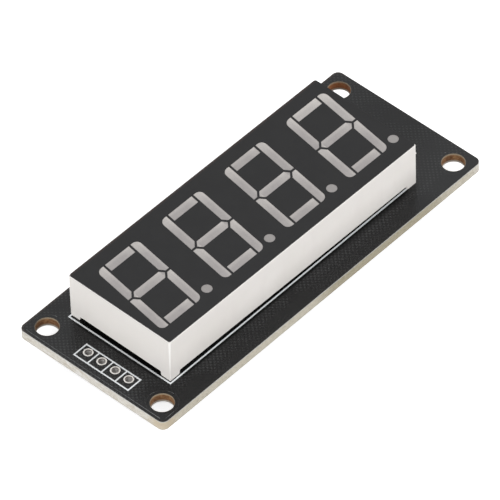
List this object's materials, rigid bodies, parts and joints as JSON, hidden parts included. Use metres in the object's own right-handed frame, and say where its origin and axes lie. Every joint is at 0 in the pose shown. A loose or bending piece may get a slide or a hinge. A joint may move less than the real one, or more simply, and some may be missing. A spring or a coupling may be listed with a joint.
{
  "type": "seven segment display module",
  "caption": "Slanted seven segment digits with decimal points in a white reflector housing, soldered to a black driver board with corner mounting holes and a row of plated header holes.",
  "frame": {"origin": "middle of the corner mounting holes, on the back face of the circuit board", "axes": "+X along the digits in reading direction, +Y towards the tops of the digits, +Z out of the display's face"},
  "size_m": [0.066, 0.0272, 0.012],
  "materials": {
    "black_board": "satin solder mask over woven glass laminate",
    "tinned_copper": "satin tin",
    "white_plastic": "fine satin moulding",
    "black_film": "matt print",
    "milky_resin": "satin, slightly cloudy",
    "green_laminate": "satin",
    "lamp_chip": "satin",
    "tinned_lead": "satin tin",
    "solder": "bright solder",
    "black_moulding": "fine matt moulding",
    "tinned_end": "satin tin",
    "resistor_coat": "satin glaze",
    "capacitor_ceramic": "dull ceramic"
  },
  "bodies": {
    "root": {"capacitor_1": "capacitor_ceramic", "capacitor_2": "capacitor_ceramic", "capacitor_3": "capacitor_ceramic", "capacitor_ends_1": "tinned_end", "capacitor_ends_2": "tinned_end", "capacitor_ends_3": "tinned_end", "digit_lamps_1": "lamp_chip", "digit_lamps_2": "lamp_chip", "digit_lamps_3": "lamp_chip", "digit_lamps_4": "lamp_chip", "display_pin_1": "tinned_lead", "display_pin_10": "tinned_lead", "display_pin_11": "tinned_lead", "display_pin_12": "tinned_lead", "display_pin_2": "tinned_lead", "display_pin_3": "tinned_lead", "display_pin_4": "tinned_lead", "display_pin_5": "tinned_lead", "display_pin_6": "tinned_lead", "display_pin_7": "tinned_lead", "display_pin_8": "tinned_lead", "display_pin_9": "tinned_lead", "driver_body": "black_moulding", "driver_leads": "tinned_lead", "face_film": "black_film", "header_eyelet_1": "tinned_copper", "header_eyelet_2": "tinned_copper", "header_eyelet_3": "tinned_copper", "header_eyelet_4": "tinned_copper", "lamp_board": "green_laminate", "pin_eyelets": "tinned_copper", "pin_solder_1": "solder", "pin_solder_10": "solder", "pin_solder_11": "solder", "pin_solder_12": "solder", "pin_solder_2": "solder", "pin_solder_3": "solder", "pin_solder_4": "solder", "pin_solder_5": "solder", "pin_solder_6": "solder", "pin_solder_7": "solder", "pin_solder_8": "solder", "pin_solder_9": "solder", "printed_board": "black_board", "reflector_housing": "white_plastic", "resin_fill": "milky_resin", "resistor_1": "resistor_coat", "resistor_2": "resistor_coat", "resistor_ends_1": "tinned_end", "resistor_ends_2": "tinned_end", "surface_pads": "tinned_copper", "surface_solder": "solder"}
  },
  "joints": []
}
